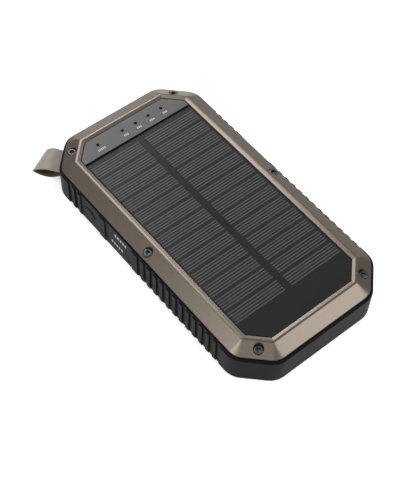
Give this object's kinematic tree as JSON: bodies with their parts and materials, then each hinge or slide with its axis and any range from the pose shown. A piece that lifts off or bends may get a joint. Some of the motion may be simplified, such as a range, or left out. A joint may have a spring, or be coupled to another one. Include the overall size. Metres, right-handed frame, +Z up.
{
  "type": "solar phone charger",
  "caption": "Rugged solar power bank: bevelled painted bezel round a solar panel, hard case in a ribbed rubber boot, side button, corner strap and a hinged port cover.",
  "frame": {"origin": "centre of the flat back, where the charger rests", "axes": "+Z up through the solar panel, +Y along the long side to the indicator and port end, +X to the right"},
  "size_m": [0.0931, 0.1662, 0.0211],
  "materials": {
    "boot_rubber": "fine matt moulded silicone rubber",
    "case_plastic": "fine spark texture",
    "bezel_paint": "satin bronze metallic paint",
    "seal_rubber": "smooth moulded",
    "foam": "open foam",
    "panel_backing": "glass fibre board",
    "panel_film": "smooth clear film over black",
    "solar_cell": "dark cells with pale collector lines under clear film",
    "plate_grey": "grey print under clear film",
    "light_guide": "smoked moulded acrylic",
    "led_body": "moulded package",
    "screw_steel": "black oxide",
    "insert_brass": "machined",
    "board": "green solder mask",
    "socket_steel": "drawn nickel plated",
    "chip": "moulded package",
    "can_aluminium": "plain can",
    "pouch_foil": "laminated foil",
    "wire_red": "silicone sleeve",
    "wire_black": "silicone sleeve",
    "strap_ribbon": "tight woven flat ribbon"
  },
  "bodies": {
    "housing": {"rubber_boot": "boot_rubber", "lower_case": "case_plastic", "top_bezel": "bezel_paint", "case_seal": "seal_rubber", "panel_gasket": "foam", "panel_board": "panel_backing", "panel_laminate": "panel_film", "solar_cells_left": "solar_cell", "solar_cells_right": "solar_cell", "indicator_plate": "plate_grey", "light_guide_1": "light_guide", "light_guide_2": "light_guide", "light_guide_3": "light_guide", "light_guide_4": "light_guide", "light_guide_5": "light_guide", "led_1": "led_body", "led_2": "led_body", "led_3": "led_body", "led_4": "led_body", "led_5": "led_body", "screw_far_left": "screw_steel", "screw_far_right": "screw_steel", "screw_near_left": "screw_steel", "screw_near_right": "screw_steel", "screw_mid_left": "screw_steel", "screw_mid_right": "screw_steel", "insert_far_left": "insert_brass", "insert_far_right": "insert_brass", "insert_near_left": "insert_brass", "insert_near_right": "insert_brass", "insert_mid_left": "insert_brass", "insert_mid_right": "insert_brass", "circuit_board": "board", "usb_a_socket_1": "socket_steel", "usb_a_socket_2": "socket_steel", "usb_c_socket": "socket_steel", "control_chip": "chip", "inductor": "chip", "capacitor_1": "can_aluminium", "capacitor_2": "can_aluminium", "tact_switch": "chip", "battery_lower": "pouch_foil", "battery_upper": "pouch_foil", "battery_foam": "foam", "battery_lead_red": "wire_red", "battery_lead_black": "wire_black", "panel_lead_red": "wire_red", "panel_lead_black": "wire_black", "port_cover_anchor": "boot_rubber", "strap_pin": "socket_steel"},
    "button": {"power_button": "boot_rubber", "switch_plunger": "socket_steel"},
    "cover": {"port_cover": "boot_rubber"},
    "strap": {"strap": "strap_ribbon"}
  },
  "joints": [
    {"name": "button_press", "type": "slide", "parent": "housing", "child": "button", "axis": [1, 0, 0], "range_m": [0, 0.0005], "stiffness_N_per_m": 3000},
    {"name": "cover_hinge", "type": "hinge", "parent": "housing", "child": "cover", "pos_m": [0.02115, 0.08075, 0.0095], "axis": [0, 0, -1], "range_deg": [0, 120], "stiffness_Nm_per_rad": 0.003},
    {"name": "strap_swing", "type": "hinge", "parent": "housing", "child": "strap", "pos_m": [-0.0326, 0.07121, 0.0097], "axis": [0.7071, 0.7071, 0], "range_deg": [-8, 8], "stiffness_Nm_per_rad": 0.02}
  ]
}
